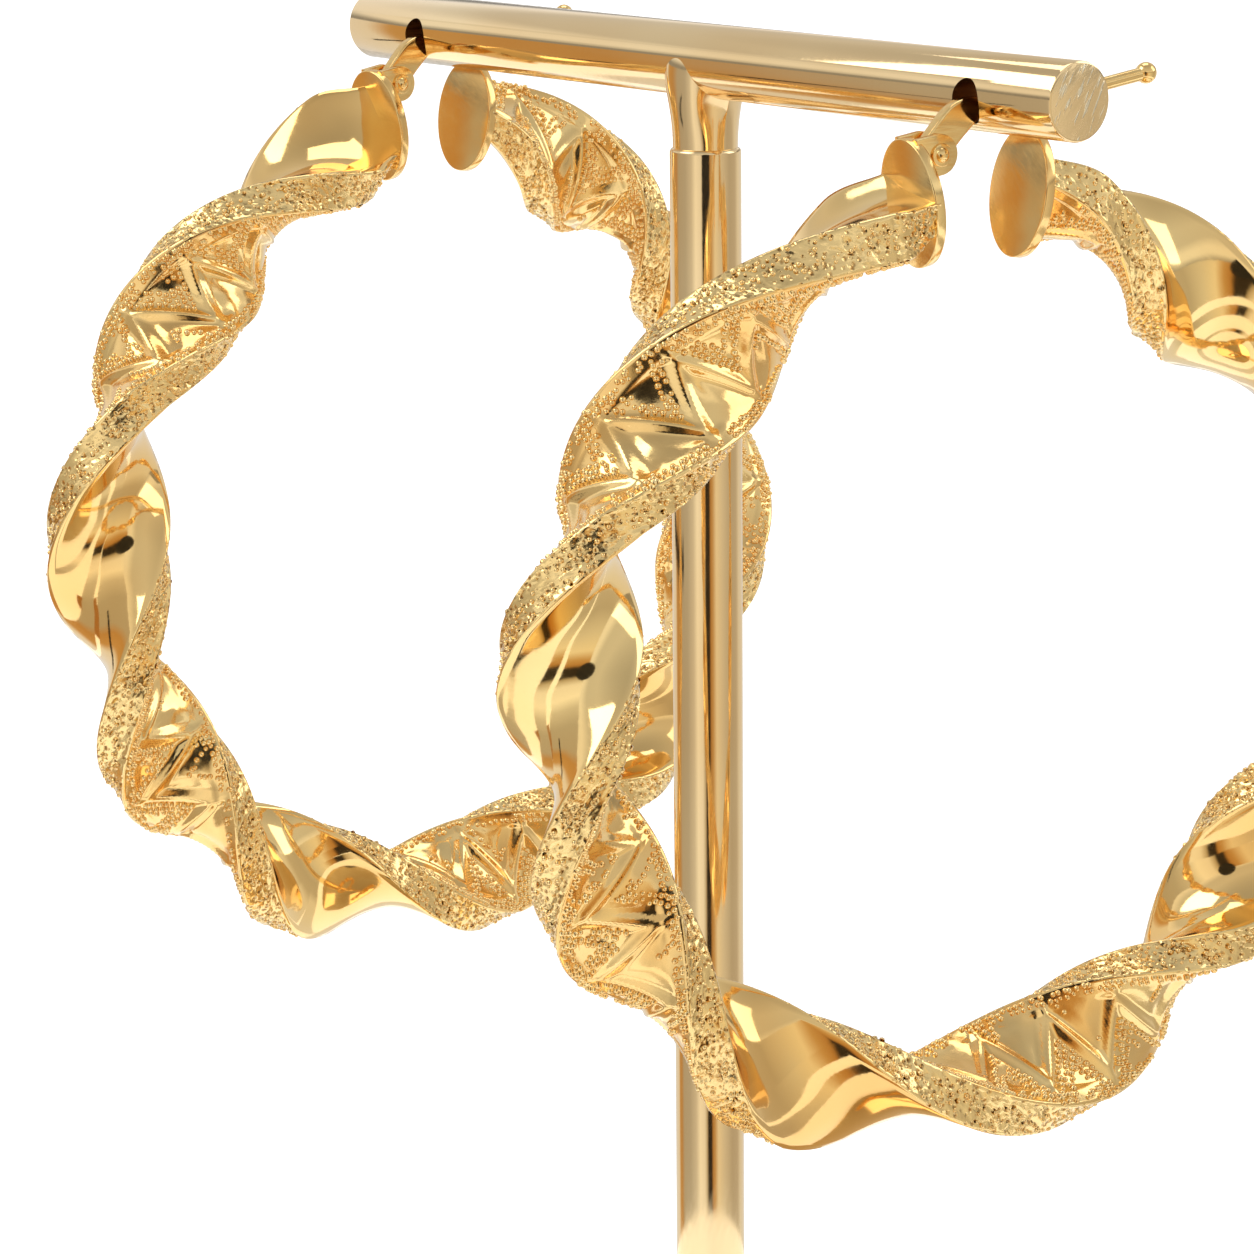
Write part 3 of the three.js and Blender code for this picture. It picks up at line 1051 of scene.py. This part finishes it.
def color_ramp(tree, source, stops):
    """A ramp through stops of a place and a colour, from the first at 0 to the last at 1."""
    ramp = tree.nodes.new("ShaderNodeValToRGB")
    elements = ramp.color_ramp.elements
    for element, (place, color) in zip((elements[0], elements[1]), (stops[0], stops[-1])):
        element.position = place
        element.color = (*color, 1)
    for place, color in stops[1:-1]:
        elements.new(place).color = (*color, 1)
    tree.links.new(source, ramp.inputs["Fac"])
    return ramp.outputs["Color"]


def only_reflected(piece):
    """Keeps a studio piece out of the picture and off the floor: only the gold reflects it."""
    piece.visible_camera = False
    piece.visible_shadow = False
    piece.visible_diffuse = False


def ring_of_flats(name, radius, tall):
    """A low wall of flats round the object, out of the camera's sight, that the gold reflects."""
    ring, along, up = grid(name, columns=361, rows=2)
    view = math.radians(camera_azimuth - 90)
    angle = view + np.radians(360 * along - 180)
    reshape(ring, np.stack([radius * np.cos(angle), radius * np.sin(angle), tall * up], -1))
    made = Nodes(name, (0, 0, 0), roughness=1)
    tree = made.tree
    place = tree.nodes.new("ShaderNodeUVMap").outputs["UV"]
    split = tree.nodes.new("ShaderNodeSeparateXYZ")
    tree.links.new(place, split.inputs[0])
    stops = [((angle_at + 180) / 360, color) for angle_at, color in flats]
    made.link(color_ramp(tree, split.outputs["X"], stops), made.shader, "Emission Color")
    made.shader.inputs["Emission Strength"].default_value = flat_light
    made.shader.inputs["Metallic"].default_value = 0
    ring.data.materials.append(made.material)
    only_reflected(ring)


def lens_shade():
    """The dark front of the camera, which the faces turned to it reflect."""
    bpy.ops.mesh.primitive_circle_add(vertices=48, radius=shade_radius, fill_type="NGON")
    shade = named("lens_shade")
    ahead = Vector(camera_place) * mm - aim_point
    place = aim_point + ahead.normalized() * shade_distance
    turn = ahead.to_track_quat("Z", "Y").to_matrix().to_4x4()
    reshape(shade, placed(Matrix.Translation(place) @ turn, points_of(shade)))
    shade.data.materials.append(card_paint("shade_black", black))
    only_reflected(shade)


def floor():
    """The floor that the stand is on, wide enough to fill the view."""
    bpy.ops.mesh.primitive_plane_add(size=floor_size)
    piece = named("floor")
    piece.data.materials.append(floor_paint())


def room():
    """A white world for the camera, and grey levels for the light and what the gold reflects."""
    world = bpy.data.worlds.new("studio")
    bpy.context.scene.world = world
    world.use_nodes = True
    tree = world.node_tree
    tree.nodes.clear()
    out = tree.nodes.new("ShaderNodeOutputWorld")
    coords = tree.nodes.new("ShaderNodeTexCoord").outputs["Generated"]
    seen = tree.nodes.new("ShaderNodeLightPath").outputs["Is Camera Ray"]
    bright = tree.nodes.new("ShaderNodeBackground")
    bright.inputs["Color"].default_value = (1, 1, 1, 1)
    levels = tree.nodes.new("ShaderNodeBackground")
    split = tree.nodes.new("ShaderNodeSeparateXYZ")
    lift = tree.nodes.new("ShaderNodeMapRange")
    lift.inputs["From Min"].default_value = -1
    tree.links.new(coords, split.inputs[0])
    tree.links.new(split.outputs["Z"], lift.inputs["Value"])
    stops = [(place, (level, level, level)) for place, level in room_levels]
    tree.links.new(color_ramp(tree, lift.outputs["Result"], stops), levels.inputs["Color"])
    mix = tree.nodes.new("ShaderNodeMixShader")
    tree.links.new(seen, mix.inputs["Fac"])
    tree.links.new(levels.outputs[0], mix.inputs[1])
    tree.links.new(bright.outputs[0], mix.inputs[2])
    tree.links.new(mix.outputs[0], out.inputs["Surface"])


def light_up():
    """The soft lights. The one over the backdrop shines straight down and isn't reflected."""
    for name, place, size, power in lamps:
        data = bpy.data.lights.new(name, "AREA")
        data.shape = "RECTANGLE"
        data.size, data.size_y = size
        data.energy = power
        lamp = bpy.data.objects.new(name, data)
        bpy.context.scene.collection.objects.link(lamp)
        lamp.location = place
        if name == "backdrop_light":
            lamp.visible_glossy = False
        else:
            aim = aim_point - lamp.location
            lamp.rotation_euler = aim.to_track_quat("-Z", "Y").to_euler()


def card(name, place, size, color, lies_flat):
    """A flat card that only the gold sees."""
    bpy.ops.mesh.primitive_plane_add(size=1)
    piece = named(name)
    aim = aim_point - Vector(place)
    turn = Matrix.Identity(4) if lies_flat else aim.to_track_quat("Z", "Y").to_matrix().to_4x4()
    reshape(piece, placed(Matrix.Translation(place) @ turn, points_of(piece) * [*size, 1]))
    piece.data.materials.append(card_paint(name, color))
    only_reflected(piece)


def studio():
    """All that isn't the object, and how the picture is exposed."""
    floor()
    room()
    light_up()
    for name, radius, tall in flat_rings:
        ring_of_flats(name, radius, tall)
    lens_shade()
    for values in cards:
        card(*values)
    view = bpy.context.scene.view_settings
    view.view_transform = "Standard"
    view.look = "None"
    view.exposure = exposure


def camera():
    """The camera, where the photograph was taken from."""
    data = bpy.data.cameras.new("camera")
    data.sensor_width = sensor_width
    data.lens = camera_lens
    data.clip_start, data.clip_end = 0.01, 20
    made = bpy.data.objects.new("camera", data)
    bpy.context.scene.collection.objects.link(made)
    turn = Matrix.Rotation(math.radians(camera_azimuth), 4, "Z")
    tilt = Matrix.Rotation(math.radians(90 - camera_elevation), 4, "X")
    roll = Matrix.Rotation(math.radians(camera_roll), 4, "Z")
    made.matrix_world = Matrix.Translation(Vector(camera_place) * mm) @ turn @ tilt @ roll
    bpy.context.scene.camera = made


# Assembly

camera()
studio()

polished = polished_gold()
stippled = stippled_gold()
key_metal = key_gold()
bead_metal = bead_gold()
wire_metal = wire_gold()
cap_metal = cap_gold()
plate_metal = stand_gold()
filed_metal = sawn_gold()
bore_shade_metal = bore_shade_gold()

for side in ("front", "back"):
    body = f"{side}_hoop"
    give(tube(side), body, "hoop_gold", [polished, stippled, key_metal], f"hoop_{side}")
    give(key_beads(side), body, "hoop_gold", [bead_metal])
    give(edge_beads(side), body, "hoop_gold", [bead_metal])
    give(cap(side, "hinge", hinge_angle), body, "hoop_gold", [cap_metal])
    give(cap(side, "catch", -catch_angle), body, "hoop_gold", [cap_metal])
    for sign in (-1, 1):
        give(ear(side, sign), body, "hoop_gold", [wire_metal])
    give(ear_wire(side), "stand", "hoop_gold", [wire_metal], f"ear_wire_{side}")
    give(rivet(side), "stand", "hoop_gold", [wire_metal], f"hinge_rivet_{side}")

give(bar(), "stand", "stand_gold", [plate_metal, filed_metal, bore_shade_metal], "stand_tee")
give(saddle(), "stand", "stand_gold", [plate_metal])
give(post(), "stand", "stand_gold", [plate_metal])
give(foot(), "stand", "stand_gold", [plate_metal], "stand_foot")
